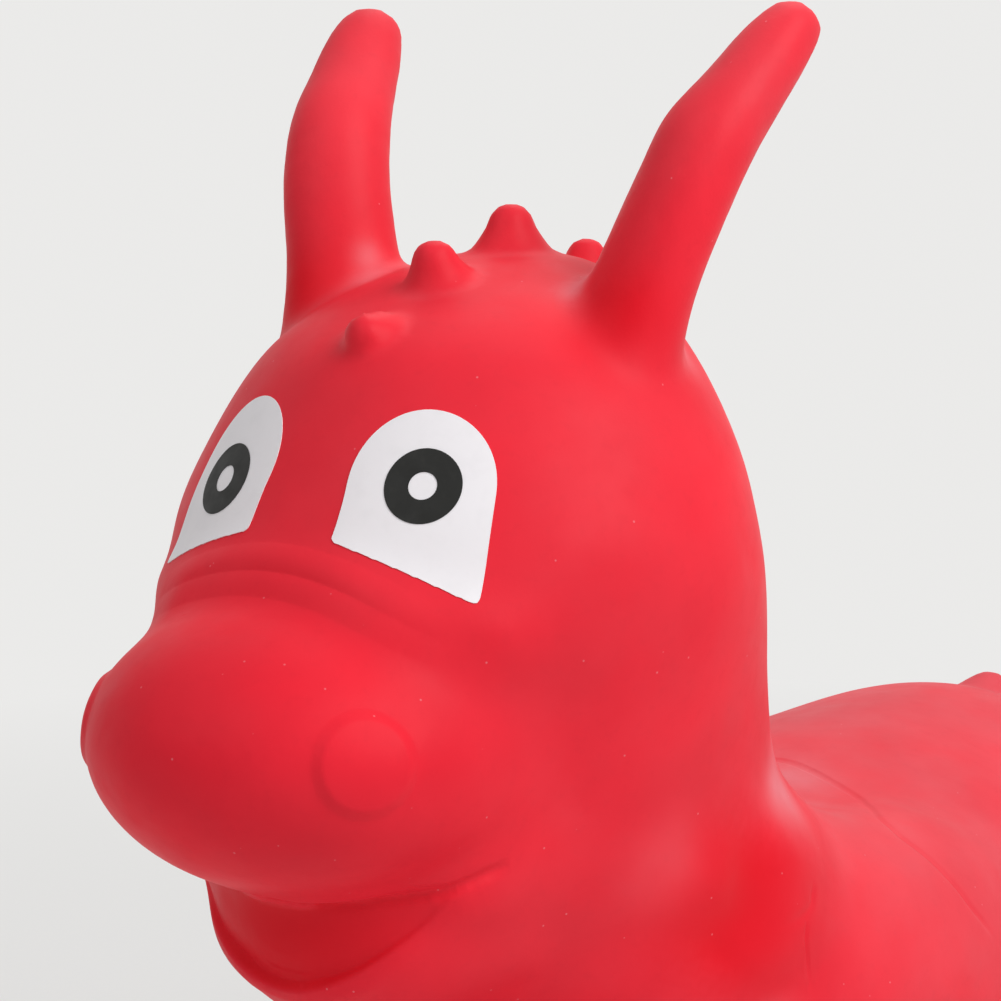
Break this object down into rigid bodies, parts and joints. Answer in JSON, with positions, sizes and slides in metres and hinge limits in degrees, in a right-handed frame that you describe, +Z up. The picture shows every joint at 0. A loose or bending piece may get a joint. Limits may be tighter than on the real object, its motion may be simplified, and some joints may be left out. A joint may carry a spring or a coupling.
{
  "type": "animal hopper",
  "caption": "Inflatable hopping animal to sit on: hollow red vinyl body on stub legs, long ears as handles, mane bumps, stuck-on eyes and a pull-out air stopper.",
  "frame": {"origin": "on the floor, under the middle of the animal's box", "axes": "+Z up, the animal faces -Y, its left side is at +X"},
  "size_m": [0.2624, 0.596, 0.5525],
  "materials": {
    "red_vinyl": "satin soft vinyl",
    "white_stopper": "satin",
    "white_film": "satin film",
    "black_print": "matt print"
  },
  "bodies": {
    "hopper": {"skin": "red_vinyl", "eye_left": "white_film", "eye_right": "white_film", "pupil_left": "black_print", "pupil_right": "black_print"},
    "stopper": {"valve_plug": "white_stopper"}
  },
  "joints": [
    {"name": "stopper_pull", "type": "slide", "parent": "hopper", "child": "stopper", "axis": [0, 0, -1], "range_m": [0, 0.03]}
  ]
}
